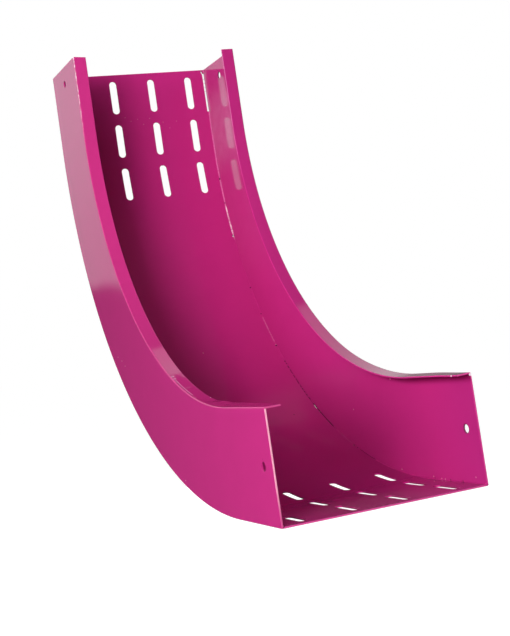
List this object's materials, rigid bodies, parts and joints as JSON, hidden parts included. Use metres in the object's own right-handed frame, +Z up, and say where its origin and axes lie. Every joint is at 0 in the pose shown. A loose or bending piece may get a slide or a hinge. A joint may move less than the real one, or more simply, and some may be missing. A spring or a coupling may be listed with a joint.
{
  "type": "cable tray vertical bend",
  "caption": "Curved open channel of slotted sheet metal with inward side flanges, a quarter turn that takes a cable run from level to straight up.",
  "frame": {"origin": "on the underside of the level leg, on the centre line, below its two joint holes", "axes": "+X right across the channel, +Y along the level leg toward the bend, +Z up along the rising leg"},
  "size_m": [0.2, 0.505, 0.505],
  "materials": {
    "base_coat": "gloss powder coat",
    "side_coat": "gloss powder coat",
    "weld_coat": "gloss powder coat over weld"
  },
  "bodies": {
    "root": {"base_plate": "base_coat", "left_side": "side_coat", "right_side": "side_coat", "left_seam_welds": "weld_coat", "right_seam_welds": "weld_coat"}
  },
  "joints": []
}
